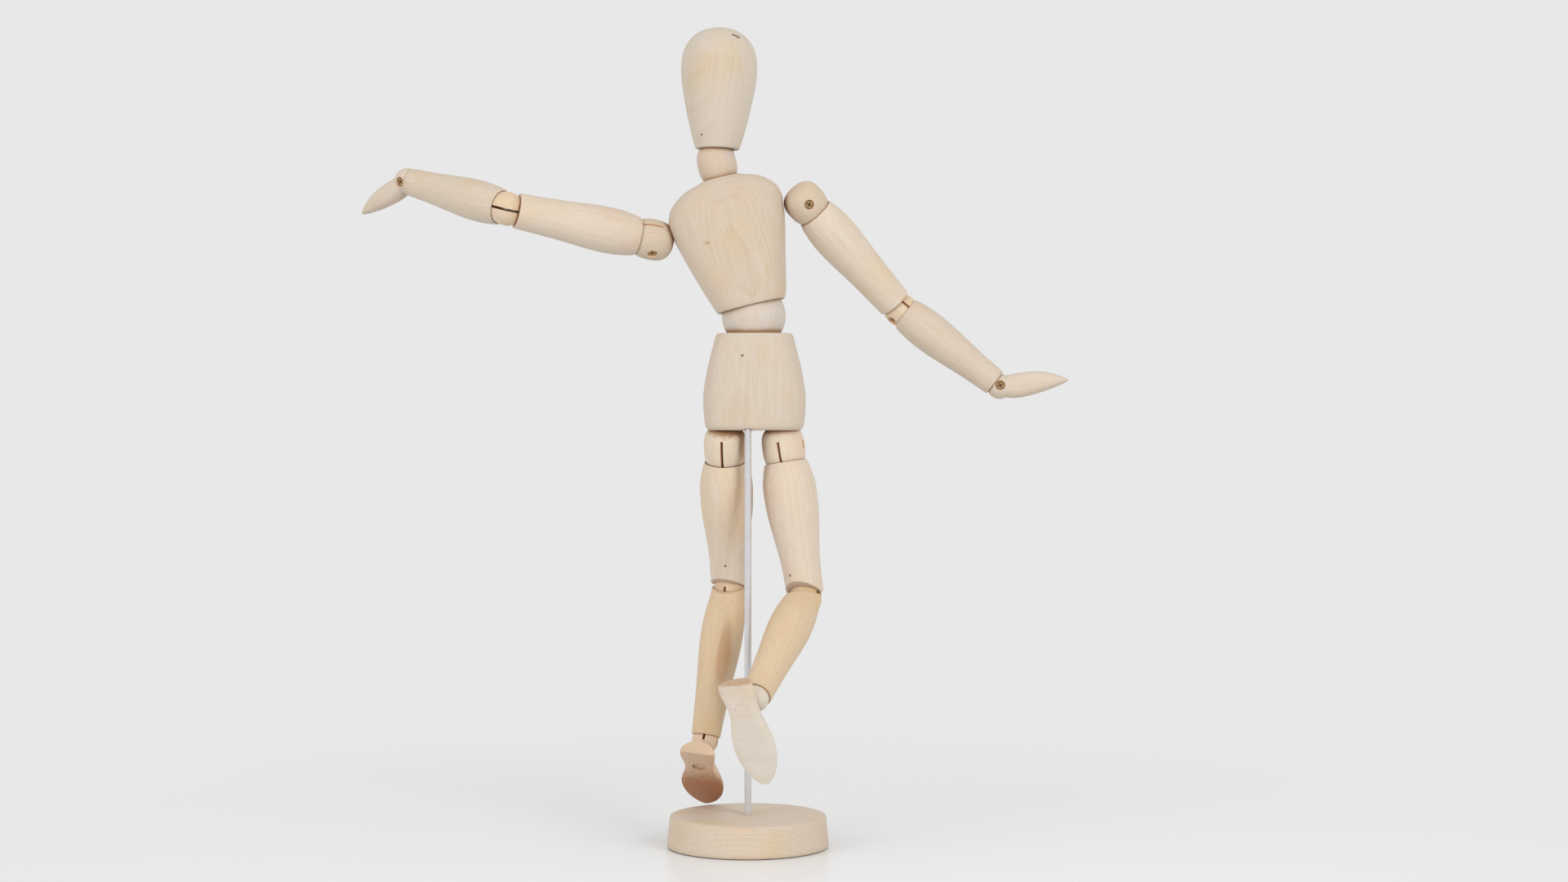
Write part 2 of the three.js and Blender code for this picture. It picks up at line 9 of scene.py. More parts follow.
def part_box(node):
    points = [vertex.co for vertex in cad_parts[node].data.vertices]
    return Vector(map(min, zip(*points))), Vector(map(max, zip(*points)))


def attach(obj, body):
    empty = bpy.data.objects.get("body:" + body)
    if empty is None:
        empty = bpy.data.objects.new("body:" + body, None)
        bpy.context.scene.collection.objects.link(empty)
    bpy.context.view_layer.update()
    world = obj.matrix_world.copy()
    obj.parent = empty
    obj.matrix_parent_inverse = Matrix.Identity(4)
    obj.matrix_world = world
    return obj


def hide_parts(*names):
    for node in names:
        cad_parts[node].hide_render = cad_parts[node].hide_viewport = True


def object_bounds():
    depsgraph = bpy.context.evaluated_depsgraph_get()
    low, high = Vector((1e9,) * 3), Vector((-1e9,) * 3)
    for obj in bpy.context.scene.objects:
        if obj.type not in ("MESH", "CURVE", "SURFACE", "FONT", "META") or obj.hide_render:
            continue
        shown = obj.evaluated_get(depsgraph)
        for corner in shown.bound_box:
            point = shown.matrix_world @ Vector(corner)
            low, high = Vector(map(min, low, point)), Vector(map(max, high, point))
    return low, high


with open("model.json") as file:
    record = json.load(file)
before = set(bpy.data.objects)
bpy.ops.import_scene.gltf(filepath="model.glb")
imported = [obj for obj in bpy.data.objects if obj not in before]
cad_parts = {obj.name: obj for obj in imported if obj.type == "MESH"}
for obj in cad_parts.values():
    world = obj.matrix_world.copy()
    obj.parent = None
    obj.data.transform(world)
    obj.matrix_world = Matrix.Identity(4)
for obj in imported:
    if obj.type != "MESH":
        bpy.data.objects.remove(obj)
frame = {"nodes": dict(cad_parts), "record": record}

CAD_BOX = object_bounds()
JOINT = {j["name"]: j for j in frame["record"]["behaviour"]["joints"]}
SIDES = {"left": -1, "right": 1}

# ---- Sizes, in millimetres ------------------------------------------------
# Radii of the balls the joints turn on
BALL = {"waist": 13.0, "neck": 7.85, "shoulder": 8.5, "elbow": 6.5, "wrist": 5.2,
        "hip": 8.5, "knee": 6.4, "ankle": 5.4}
SEAT_GAP = 0.12
# Saw kerf across a ball: its width, and how far past the ball's centre it goes
KERF = 1.1
KERF_PAST_CENTRE = {"shoulder": 2.3, "elbow": 4.6, "wrist": 2.3, "hip_left": 5.0, "hip_right": 2.3,
                    "knee": 2.3, "ankle": 2.3}
LENGTH = {"upper_arm": 61.0, "forearm": 51.5, "thigh": 60.7, "shin": 64.3}
ARM_BORE = 2.8
SMALL_BORE = 2.3
THIGH_BORE_DEPTH = 30
SHIN_BORE_DEPTH = 24
END_BORE_DEPTH = 16
PEG_BORE_DEPTH = 15.3
PEG = {"radius": 2.0, "length": 15, "chamfer": 0.3}
SCREW = {"shank": 0.7, "head": 1.65, "depth": 1.0, "sink": 0.8, "room": 0.25}
RIM_ROUND = 0.22

# [distance below the upper joint, radius]
PROFILE = {
    "upper_arm": [(6.1, 7.6), (8.5, 8.3), (14, 9.1), (20, 9.3), (27, 9.0), (36, 8.2), (46, 7.6), (56.6, 7.1)],
    "forearm": [(2.4, 7.0), (6, 7.7), (12, 8.2), (19, 8.1), (27, 7.4), (37, 6.4), (49, 5.6)],
    "thigh": [(5.9, 8.65), (9, 9.6), (14, 10.6), (20, 10.8), (28, 10.4), (37, 9.2), (47, 8.0), (60, 7.5)],
    "shin": [(0.7, 7.0), (6, 7.5), (12, 8.3), (20, 8.7), (28, 8.4), (38, 7.5), (50, 6.6), (62.3, 5.9)],
}
# Chamfers that let a joint fold: [rise into the limb on its axis, angle]
ELBOW_RELIEF = (2.4, 24)
THIGH_RELIEF = (0.7, 37)
SHIN_RELIEF = {"left": (-0.8, 36), "right": (0.5, 42)}
THIGH_PIN = {"left": (12.2, 7.9, 9), "right": (9.2, 7.6, -13)}

# [height, half width, half depth] above the pelvis's underside and above the waist centre
PELVIS = [(0, 18.2, 11.6), (0.9, 19.4, 12.6), (3.5, 20.3, 13.2), (14, 20.8, 13.6), (25, 19.1, 13.5),
          (34, 16.9, 13.2), (38.2, 15.8, 12.9), (39.2, 15, 12.3)]
CHEST = [(4.2, 13.8, 13.5), (5, 14.4, 13.9), (8, 15.5, 14.2), (15, 17.5, 14.4), (26, 20.4, 14.4),
         (35, 22.6, 14.2), (43, 23.8, 13.8), (48.0, 22.9, 13.2), (51.4, 20.5, 12.2), (54.9, 15.6, 10.4),
         (56.7, 9.8, 9.1), (57.2, 8.7, 8.5)]
# Sideways lean of the chest's sections, one per row above
CHEST_SHIFT = [0, 0, 0, -0.4, -0.9, -1.1, -1.1, -0.7, -0.4, 0, 0, 0]
SHOULDER_OUT = {"left": 33.0, "right": 31.2}
SHOULDER_ABOVE_WAIST = 40.0
NECK_ABOVE_WAIST = 63.5
NECK_SEAT = 9.1
NECK_BARREL = (7.95, 8.8, 2.6)
# Balls turned fuller than a sphere, [radius, half length, fullness], and the limbs' seats for them
BARREL = {"hip": (8.65, 9.3, 3.0), "shoulder": (8.3, 8.8, 2.7), "elbow": (6.75, 6.75, 2.3)}
SEAT = {"hip": 10.2, "shoulder": 9.45, "elbow": 7.15}
# A ball that is shorter on the side away from its limb
FAR_END = {"shoulder_ball_right": 0.87}
PELVIS_SEAT = 9.75
CHEST_SOCKET = {"left": 8.95, "right": 9.45}
# [radius, height above the neck centre]
HEAD = [(8.9, 6.1), (10.4, 11), (12.2, 18), (13.9, 26), (15.1, 33), (15.45, 39), (14.9, 44.5),
        (12.8, 49.3), (9.2, 52.9), (4.7, 54.9), (0, 55.5)]
HEAD_LEAN = -1.3
HEAD_PIN = (10.85, 10.2, -37)
PELVIS_PIN = (-4.7, -13.4, 30)
BRAD = {"radius": 0.42, "hole": 0.5, "length": 8.0, "sink": 0.15}
# The base's radii and height, and a faint dark line across its top, in X and Y
BASE = {"top": 31.5, "bottom": 32.5, "height": 12.7}
BASE_LINE = [(-26, 20), (-21, 17), (-16, 14), (-11, 11), (-6, 8.5), (2, 8.5), (6, 12), (10, 16)]
ROD_RADIUS = 1.4
ROD_SEAT = 4.7

# Hand: [height, near edge, full edge, half thickness], fingertips down
HAND = [(-1.0, -4.2, 4.0, 4.3), (-4.8, -5.1, 4.6, 4.6), (-9, -5.0, 5.1, 4.7), (-14.5, -4.0, 5.3, 4.5),
        (-19, -2.9, 4.8, 4.1), (-22.5, -1.8, 3.8, 3.5), (-25.5, -0.7, 2.6, 2.6), (-27.6, 0.2, 1.7, 1.4)]
HAND_TIP = (-28.6, 0.9)
HAND_DOWN = {"left": (-0.72, 0.53, -0.45), "right": (0.996, -0.02, 0.06)}
HAND_WIDTH = {"left": 0.88, "right": 1.0}

# Foot: [distance ahead of the ankle, half width, height above the sole]
FOOT = [(-11.4, 6.9, 5.6), (-8, 7.1, 6.9), (-4, 6.4, 8.1), (0, 5.9, 8.6), (4, 6.4, 8.2), (10, 8.1, 7.3),
        (15, 8.7, 6.5), (20, 8.1, 5.6), (24, 6.8, 4.8), (27.6, 4.7, 3.6), (29.8, 2.4, 2.3), (30.8, 0.9, 1)]
SOLE = -12.5
FOOT_DOWN = {"left": (-0.177, -0.578, -0.797), "right": (-0.392, -0.865, -0.311)}
TOE_OUT = {"left": 1, "right": 4}
PLUG_DEPTH = {"left": 0.9, "right": 0.12}
# Painted shade on the feet: the left sole, which faces down toward the base, browned toward the toe, and the
# right heel's end face, darkened for shade from above
FOOT_PAINTED_SHADE = {
    "left": [((2, 30, SOLE), (26, 30, 4), (0.62, 0.33, 0.19), 0.95)],
    "right": [((0, -11.8, -9.5), (14, 1.7, 9), (0.80, 0.62, 0.48), 1.0)],
}


# Browner patches on the shins: [centre, radii, tint, strength]. The left one is a painted shadow of the rod
# and the right foot; the right one is a faint short line in the wood.
SHIN_SHADOW_AND_LINE = {
    "left": [((4.5, -7, -30), (3.2, 6, 17), (0.80, 0.66, 0.52), 0.7)],
    "right": [((-1, -8, -52), (5, 1.6, 0.35), (0.72, 0.58, 0.46), 0.5)],
}


# ---- Frames ----------------------------------------------------------------
def pose(origin, z, x):
    """A frame at origin, in metres, with this Z axis and its X as near as it can be to x."""
    z = Vector(z).normalized()
    x = Vector(x)
    x = (x - z * x.dot(z)).normalized()
    m = Matrix((x, z.cross(x), z)).transposed().to_4x4()
    m.translation = Vector(origin)
    return m


def at(joint):
    return JOINT[joint]["pos_m"]


def axis(joint):
    return JOINT[joint]["axis"]


def box_foot(node):
    """Centre of a CAD node's underside."""
    low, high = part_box(node)
    return Vector(((low[0] + high[0]) / 2, (low[1] + high[1]) / 2, low[2]))


# ---- Curves and shells -------------------------------------------------------
def smooth(rows, steps=6):
    """Catmull-Rom curve through rows of numbers."""
    out = []
    for i in range(len(rows) - 1):
        p0 = rows[max(i - 1, 0)]
        p1, p2 = rows[i], rows[i + 1]
        p3 = rows[min(i + 2, len(rows) - 1)]
        for k in range(steps):
            t = k / steps
            out.append(tuple(
                0.5 * (2 * b + (c - a) * t + (2 * a - 5 * b + 4 * c - d) * t * t
                       + (3 * b - a - 3 * c + d) * t ** 3)
                for a, b, c, d in zip(p0, p1, p2, p3)))
    out.append(tuple(rows[-1]))
    return out


def arc(radius, centre, start, end, steps=12):
    """Points [radius, height] on a circle about the axis point `centre`; angles from straight down."""
    turns = [start + (end - start) * k / steps for k in range(steps + 1)]
    return [(radius * math.sin(a), centre - radius * math.cos(a)) for a in turns]


def shell(rings, closed=False):
    """Skin over rings of points; a ring of one point is a pole."""
    bm = bmesh.new()
    rows = [[bm.verts.new(p) for p in ring] for ring in rings]
    pairs = list(zip(rows, rows[1:])) + ([(rows[-1], rows[0])] if closed else [])
    for a, b in pairs:
        count = max(len(a), len(b))
        for k in range(count):
            n = (k + 1) % count
            corners = [a[0]] if len(a) == 1 else [a[k], a[n]]
            corners += [b[0]] if len(b) == 1 else [b[n], b[k]]
            if len(corners) > 2:
                bm.faces.new(corners)
    if not closed:
        for ends in (rows[0], rows[-1]):
            if len(ends) > 2:
                bm.faces.new(ends)
    bmesh.ops.recalc_face_normals(bm, faces=bm.faces)
    return bm


def lathe(profile, segments=80, closed=False):
    rings = []
    for r, z in profile:
        if r < 1e-6:
            rings.append([(0, 0, z)])
        else:
            turns = [2 * math.pi * k / segments for k in range(segments)]
            rings.append([(r * math.cos(t), r * math.sin(t), z) for t in turns])
    return shell(rings, closed)


def barrel(radius, height, power, steps=48):
    """Lathe outline of a ball with fuller shoulders than a sphere."""
    turns = [math.pi * k / steps for k in range(steps + 1)]
    out = []
    for t in turns:
        s, c = math.sin(t), -math.cos(t)
        reach = (abs(s) ** power + abs(c) ** power) ** (-1 / power)
        out.append((max(s * reach * radius, 0) if 0 < t < math.pi else 0, c * reach * height))
    return out


def oval_loft(rows, power, shift=None, segments=112, steps=5):
    """Body whose level sections are rounded rectangles: [z, half width, half depth]."""
    rings = []
    for z, w, d, x in smooth([(*row, x) for row, x in zip(rows, shift or [0] * len(rows))], steps):
        ring = []
        for k in range(segments):
            t = 2 * math.pi * k / segments
            c, s = math.cos(t), math.sin(t)
            reach = (abs(c) ** power + abs(s) ** power) ** (-1 / power)
            ring.append((x + c * reach * w, s * reach * d, z))
        rings.append(ring)
    return shell(rings)


def ball(radius, centre=(0, 0, 0), around=80, down=48):
    bm = lathe(arc(radius, 0, 0, math.pi, down), around)
    bmesh.ops.translate(bm, vec=centre, verts=bm.verts)
    return bm


def bar(radius, low, high, segments=40):
    return lathe([(0, low), (radius, low), (radius, high), (0, high)], segments)


def block(size, centre):
    bm = bmesh.new()
    bmesh.ops.create_cube(bm, size=1)
    bmesh.ops.scale(bm, vec=size, verts=bm.verts)
    bmesh.ops.translate(bm, vec=centre, verts=bm.verts)
    return bm


def turned(bm, degrees, about="Z"):
    bmesh.ops.rotate(bm, matrix=Matrix.Rotation(math.radians(degrees), 3, about), verts=bm.verts)
    return bm


def moved(bm, offset):
    bmesh.ops.translate(bm, vec=offset, verts=bm.verts)
    return bm


# ---- Materials -----------------------------------------------------------------
def node(tree, kind, inputs=None, **props):
    n = tree.nodes.new("ShaderNode" + kind)
    for key, value in props.items():
        setattr(n, key, value)
    for key, value in (inputs or {}).items():
        if isinstance(value, bpy.types.NodeSocket):
            tree.links.new(value, n.inputs[key])
        else:
            n.inputs[key].default_value = value
    return n


def calc(tree, op, a, b=0.0, c=0.0, clamp=False):
    return node(tree, "Math", {0: a, 1: b, 2: c}, operation=op, use_clamp=clamp).outputs[0]


def vcalc(tree, op, a, b=(0, 0, 0)):
    n = node(tree, "VectorMath", {0: a, 1: b}, operation=op)
    return n.outputs["Value"] if op in ("LENGTH", "DISTANCE") else n.outputs["Vector"]


def mix(tree, factor, a, b, blend="MIX"):
    n = node(tree, "Mix", {0: factor, 6: a, 7: b}, data_type="RGBA", blend_type=blend)
    return n.outputs[2]


def remap(tree, value, low, high, to_low=0.0, to_high=1.0):
    n = node(tree, "MapRange", {"Value": value, "From Min": low, "From Max": high,
                                "To Min": to_low, "To Max": to_high}, interpolation_type="SMOOTHSTEP")
    return n.outputs["Result"]


def noise(tree, where, scale, detail=2.0, rough=0.5):
    """Noise between 0 and 1; scale is per millimetre on each axis."""
    stretched = vcalc(tree, "MULTIPLY", where, scale)
    return node(tree, "TexNoise", {"Vector": stretched, "Scale": 1.0, "Detail": detail,
                                   "Roughness": rough}).outputs["Fac"]


def rgba(c):
    return (c[0], c[1], c[2], 1.0)


def srgb(r, g, b):
    """Linear colour from 0-255 display values."""
    def lin(v):
        v /= 255
        return v / 12.92 if v <= 0.04045 else ((v + 0.055) / 1.055) ** 2.4
    return (lin(r), lin(g), lin(b))


def new_material(name):
    m = bpy.data.materials.new(name)
    m.use_nodes = True
    tree = m.node_tree
    tree.nodes.clear()
    return m, tree


def finish_material(tree, shader):
    out = node(tree, "OutputMaterial")
    tree.links.new(shader, out.inputs["Surface"])


# Colours the wood is multiplied by; the first is painted shade, the brown darkening put where other surfaces
# crowd in
PAINTED_SHADE_TINT = (0.66, 0.42, 0.25)
RING_TINT = (0.90, 0.80, 0.68)
FIBRE_TINT = (0.84, 0.72, 0.58)
YELLOW_TINT = (1.0, 0.955, 0.82)
PINK_TINT = (1.0, 0.93, 0.90)
FLECK_TINT = (0.62, 0.42, 0.28)


def wood(name, colour, seed, pith=(26, 14), spacing=2.6, rings=0.38, fibre=0.42, flecks=0.35,
         contact_shade=0.9, reach=3.6, marks=(), along="Z"):
    """Sanded bare wood: growth rings about a pith beside the piece, fibres along it, blotches, painted shade
    (a brown darkening wherever other surfaces are close, in contacts, creases and hollows) and slightly worn
    edges. The patches, each [centre, radii, tint, strength], are partly real marks in the wood and partly
    painted shade and painted shadow."""
    m, tree = new_material(name)
    coords = node(tree, "TexCoord").outputs["Object"]
    local = vcalc(tree, "MULTIPLY", coords, (1000, 1000, 1000))
    grain = local
    if along != "Z":
        turn = node(tree, "VectorRotate", {"Vector": local, "Angle": math.pi / 2}, rotation_type=(
            "Y_AXIS" if along == "X" else "X_AXIS"))
        grain = turn.outputs["Vector"]
    place = vcalc(tree, "ADD", grain, (seed * 17.3, seed * 9.1, seed * 31.7))
    sway = noise(tree, place, (0.05, 0.05, 0.018), 2)
    sway_mm = calc(tree, "MULTIPLY_ADD", sway, 7.0, -3.5)
    flat = vcalc(tree, "MULTIPLY", grain, (1, 1, 0))
    from_pith = vcalc(tree, "DISTANCE", flat, (pith[0], pith[1], 0))
    ring_at = calc(tree, "ADD", from_pith, sway_mm)
    phase = calc(tree, "FRACT", calc(tree, "DIVIDE", ring_at, spacing))
    late = calc(tree, "POWER", phase, 3.0)
    early = remap(tree, phase, 0.0, 0.14, 1.0, 0.0)
    ring = calc(tree, "MAXIMUM", late, early)
    ring_noise = noise(tree, place, (0.3, 0.3, 0.03), 2)
    ring_amount = calc(tree, "MULTIPLY", ring, calc(tree, "MULTIPLY", ring_noise, rings))
    fibres = noise(tree, place, (2.6, 2.6, 0.05), 4, 0.65)
    fine = noise(tree, place, (7.0, 7.0, 0.22), 3, 0.6)
    fibre_amount = calc(tree, "MULTIPLY", remap(tree, fibres, 0.35, 0.72), fibre)
    dashes = noise(tree, place, (1.5, 1.5, 0.16), 2, 0.5)
    fleck_amount = calc(tree, "MULTIPLY", remap(tree, dashes, 0.69, 0.78), flecks)
    blotch = noise(tree, place, (0.055, 0.055, 0.03), 3)
    warm = noise(tree, vcalc(tree, "ADD", place, (71, 13, 5)), (0.05, 0.05, 0.024), 2)

    tone = mix(tree, remap(tree, blotch, 0.48, 0.72), rgba(colour), rgba(YELLOW_TINT), "MULTIPLY")
    tone = mix(tree, remap(tree, warm, 0.5, 0.75), tone, rgba(PINK_TINT), "MULTIPLY")
    tone = mix(tree, ring_amount, tone, rgba(RING_TINT), "MULTIPLY")
    tone = mix(tree, fibre_amount, tone, rgba(FIBRE_TINT), "MULTIPLY")
    tone = mix(tree, fleck_amount, tone, rgba(FLECK_TINT), "MULTIPLY")
    # Each patch multiplies in its tint; some are real marks in the wood, others painted shade or painted
    # shadow
    for centre, radii, tint, strength in marks:
        off = vcalc(tree, "DIVIDE", vcalc(tree, "SUBTRACT", local, centre), radii)
        ragged = calc(tree, "MULTIPLY_ADD", noise(tree, local, (1.1, 1.1, 0.7), 2), 0.5, -0.25)
        gone = calc(tree, "ADD", vcalc(tree, "LENGTH", off), ragged)
        tone = mix(tree, remap(tree, gone, 0.55, 1.05, strength, 0.0), tone, rgba(tint), "MULTIPLY")
    edge = node(tree, "NewGeometry").outputs["Pointiness"]
    tone = mix(tree, remap(tree, edge, 0.53, 0.62, 0.0, 0.35), tone, rgba((0.86, 0.76, 0.64)), "MULTIPLY")
    # Painted shade: an occlusion probe finds where other surfaces are close, and the wood is browned and
    # darkened there
    open_sky = node(tree, "AmbientOcclusion", {"Distance": reach / 1000}, samples=8).outputs["AO"]
    painted_shade = remap(tree, open_sky, 0.1, 0.85, contact_shade, 0.0)
    tone = mix(tree, painted_shade, tone, rgba(PAINTED_SHADE_TINT), "MULTIPLY")

    height = calc(tree, "ADD", calc(tree, "MULTIPLY", fibres, 0.6), calc(tree, "MULTIPLY", fine, 0.5))
    height = calc(tree, "SUBTRACT", height, calc(tree, "MULTIPLY", fleck_amount, 0.6))
    bump = node(tree, "Bump", {"Strength": 0.22, "Distance": 0.00012, "Height": height}).outputs["Normal"]
    gloss = calc(tree, "MULTIPLY_ADD", fine, 0.16, 0.5)
    body = node(tree, "BsdfPrincipled", {
        "Base Color": tone, "Roughness": gloss, "Normal": bump, "IOR": 1.42,
        "Sheen Weight": 0.08, "Sheen Roughness": 0.5})
    finish_material(tree, body.outputs["BSDF"])
    return m


def metal(name, colour, roughness, tarnish=(0.6, 0.5, 0.4), amount=0.5, metallic=1.0):
    """Drawn metal: fine streaks along Z and a darker stain in patches."""
    m, tree = new_material(name)
    coords = node(tree, "TexCoord").outputs["Object"]
    local = vcalc(tree, "MULTIPLY", coords, (1000, 1000, 1000))
    lines = noise(tree, local, (3.6, 3.6, 0.12), 3, 0.6)
    stain = noise(tree, local, (0.7, 0.7, 0.4), 3, 0.6)
    tone = mix(tree, remap(tree, stain, 0.45, 0.75, 0.0, amount), rgba(colour), rgba(tarnish), "MULTIPLY")
    tone = mix(tree, calc(tree, "MULTIPLY", lines, 0.25), tone, rgba((0.7, 0.7, 0.7)), "MULTIPLY")
    rough = calc(tree, "MULTIPLY_ADD", lines, 0.18, roughness - 0.09)
    bump = node(tree, "Bump", {"Strength": 0.12, "Distance": 0.00005, "Height": lines}).outputs["Normal"]
    body = node(tree, "BsdfPrincipled", {
        "Base Color": tone, "Metallic": metallic, "Roughness": rough, "Normal": bump})
    finish_material(tree, body.outputs["BSDF"])
    return m


CUT_WOOD = wood("saw_cut_wood", (0.84, 0.60, 0.41), 3, rings=0.2, fibre=0.9, flecks=0.8, contact_shade=0.0)
BRASS = metal("screw_brass", (0.62, 0.44, 0.22), 0.5, tarnish=(0.5, 0.38, 0.26), amount=0.9)
STEEL = metal("tab_steel", (0.55, 0.55, 0.56), 0.38)
PIN_STEEL = metal("pin_steel", (0.34, 0.27, 0.21), 0.6, amount=0.8)
# Painted shade: the screw heads' cross recess is given a near-black brown for the shade that falls in it
SCREW_SHADE = metal("screw_recess_painted_shade", (0.10, 0.065, 0.04), 0.8, amount=0.3, metallic=0.3)
ROD_STEEL = metal("rod_steel", (0.74, 0.73, 0.75), 0.55, amount=0.15, metallic=0.75)
SPRING_STEEL = metal("spring_steel", (0.5, 0.5, 0.52), 0.4)


# ---- Making a piece ----------------------------------------------------------------
def to_object(name, bm, material):
    mesh = bpy.data.meshes.new(name)
    bm.to_mesh(mesh)
    bm.free()
    mesh.materials.append(material)
    obj = bpy.data.objects.new(name, mesh)
    bpy.context.scene.collection.objects.link(obj)
    return obj


def combine(obj, bm, operation="DIFFERENCE", material=None):
    """Cuts bm out of obj, or adds it, and keeps the cutter's own finish on the new faces."""
    tool = to_object("tool", bm, material or CUT_WOOD)
    step = obj.modifiers.new("step", "BOOLEAN")
    step.operation = operation
    step.solver = "EXACT"
    step.object = tool
    step.material_mode = "TRANSFER"
    graph = bpy.context.evaluated_depsgraph_get()
    mesh = bpy.data.meshes.new_from_object(obj.evaluated_get(graph))
    obj.modifiers.clear()
    old = obj.data
    obj.data = mesh
    bpy.data.meshes.remove(old)
    spent = tool.data
    bpy.data.objects.remove(tool)
    bpy.data.meshes.remove(spent)


def place(obj, matrix, body, slot, *nodes, crease=34):
    mesh = obj.data
    bm = bmesh.new()
    bm.from_mesh(mesh)
    bmesh.ops.remove_doubles(bm, verts=bm.verts, dist=0.002)
    bmesh.ops.dissolve_degenerate(bm, edges=bm.edges, dist=0.001)
    bm.to_mesh(mesh)
    bm.free()
    mesh.transform(Matrix.Scale(0.001, 4))
    mesh.polygons.foreach_set("use_smooth", [True] * len(mesh.polygons))
    mesh.set_sharp_from_angle(angle=math.radians(crease))
    mesh.update()
    obj.matrix_world = matrix
    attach(obj, body)
    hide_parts(*nodes)
    return obj


def kerf(radius, toward, past):
    """Slot that a ball is sawn with, open up (1) or down (-1)."""
    return block((KERF, radius * 3, radius * 2), (0, 0, toward * (radius - past)))


def screw_hole(radius, turn=0):
    """Countersunk hole from a ball's side to a little past its centre."""
    floor = radius - SCREW["sink"] - SCREW["depth"] - 0.3
    bm = lathe([(0, -radius * 0.55 - 0.3), (SCREW["shank"] + SCREW["room"], -radius * 0.55 - 0.3),
                (SCREW["shank"] + SCREW["room"], floor), (SCREW["head"] + 0.3, floor),
                (SCREW["head"] + 0.3, radius + 1), (0, radius + 1)], 40)
    bmesh.ops.rotate(bm, matrix=Matrix.Rotation(math.pi / 2, 3, "Y"), verts=bm.verts)
    return turned(bm, turn)


def screw(name, radius, matrix, body, node_name, turn=0, twist=20):
    """Cross-recessed screw along X, its dished head sunk in a ball of this radius."""
    top = radius - SCREW["sink"]
    under = top - SCREW["depth"]
    head = SCREW["head"]
    bm = lathe([(0, -radius * 0.55), (0.3, -radius * 0.52), (SCREW["shank"], -radius * 0.4),
                (SCREW["shank"], under), (head * 0.8, under), (head, under + 0.3), (head, top - 0.3),
                (head - 0.12, top - 0.08), (head * 0.85, top), (0, top)], 48)
    obj = to_object(name, bm, BRASS)
    for spin in (0, 90):
        bar_size = (head * 1.3, 0.48, 1.1)
        combine(obj, turned(block(bar_size, (0, 0, top - 0.05)), spin + twist), material=SCREW_SHADE)
    turn_x = Matrix.Rotation(math.radians(turn), 4, "Z") @ Matrix.Rotation(math.pi / 2, 4, "Y")
    return place(obj, matrix @ turn_x, body, "screw_brass", node_name, crease=12)


def joint_ball(name, radius, tone, seed, matrix, body, opening, screw_turn, peg=0, **look):
    """Sawn ball on its limb's axis. peg is 1 or -1 where a stick above or below it holds it in the limb."""
    joint = name.split("_ball")[0]
    past = KERF_PAST_CENTRE.get(name.replace("_ball", "")) or KERF_PAST_CENTRE[joint]
    outline = [(r, z * FAR_END.get(name, 1) if z > 0 else z)
               for r, z in barrel(*BARREL.get(joint, (radius, radius, 2.0)))]
    if peg:
        tip, r, e = peg * PEG["length"], PEG["radius"], PEG["chamfer"]
        stick = [(0, tip), (r - e, tip), (r, tip - peg * e)]
        rest = [(x, z) for x, z in outline if x > r or z * peg < 0]
        outline = stick + rest if peg < 0 else rest + stick[::-1]
    obj = to_object(name, lathe(outline), wood(name + "_wood", tone, seed, **look))
    combine(obj, kerf(radius, opening, past))
    combine(obj, screw_hole(radius, screw_turn))
    return place(obj, matrix, body, "ball_wood", name)


def seat(ball_name):
    return SEAT.get(ball_name, BALL[ball_name] + SEAT_GAP)


def limb_profile(rows, top_seat, low_seat, length, top_bore, low_bore, through=None):
    """Outline of a limb from bottom to top with a round seat at each end."""
    outer = [(r, -z) for z, r in reversed(smooth(rows))]
    (low_r, low_z), (top_r, top_z) = outer[0], outer[-1]
    low_open = math.acos((low_z + length) / low_seat)
    top_open = math.acos(-top_z / top_seat)
    bore_low = math.asin((through or low_bore[0]) / low_seat)
    bore_top = math.asin((through or top_bore[0]) / top_seat)
    low_arc = [(low_seat * math.sin(a), -length + low_seat * math.cos(a)) for a in
               [bore_low + (low_open - bore_low) * k / 10 for k in range(11)]]
    top_arc = [(top_seat * math.sin(a), -top_seat * math.cos(a)) for a in
               [top_open + (bore_top - top_open) * k / 10 for k in range(11)]]
    e = RIM_ROUND
    low_rim = [(low_r - e, low_z), (low_r - e * 0.3, low_z + e * 0.3), (low_r, low_z + e)]
    top_rim = [(top_r, top_z - e), (top_r - e * 0.3, top_z - e * 0.3), (top_r - e, top_z)]
    middle = [p for p in outer if low_z + e < p[1] < top_z - e]
    profile = low_arc + low_rim + middle + top_rim + top_arc
    if through:
        return profile, True
    low_end = -length + low_bore[1]
    top_end = -top_bore[1]
    return [(0, low_end), (low_bore[0], low_end)] + profile + [(top_bore[0], top_end), (0, top_end)], False


def relief(rise, angle, side, end):
    """Half-space that chamfers a limb's end, 1 its upper and -1 its lower one, on one side of X."""
    bm = block((60, 60, 30), (0, 0, end * 15))
    turned(bm, -end * side * angle, "X")
    return moved(bm, (0, 0, -end * rise))


def limb(name, part, matrix, body, tone, seed, top, low, top_bore, low_bore, through=None,
         cuts=(), **look):
    profile, closed = limb_profile(PROFILE[part], seat(top), seat(low), LENGTH[part],
                                   top_bore, low_bore, through)
    obj = to_object(name, lathe(profile, 96, closed), wood(name + "_wood", tone, seed, **look))
    for cut in cuts:
        combine(obj, cut, material=obj.data.materials[0])
    return place(obj, matrix, body, "limb_wood", name)


def brad_shape(height, out, turn, radius, low, high):
    bm = moved(turned(bar(radius, low, high, 24), -90, "X"), (0, -out, height))
    return turned(bm, turn)


def brad_hole(height, out, turn):
    return brad_shape(height, out, turn, BRAD["hole"], -3, BRAD["length"] + 0.3)


def brad(name, spot, matrix, body):
    """Thin nail driven in square to the axis, its head a little below the wood."""
    bm = brad_shape(*spot, BRAD["radius"], BRAD["sink"], BRAD["length"])
    return place(to_object(name, bm, PIN_STEEL), matrix, body, "pin_steel", name)


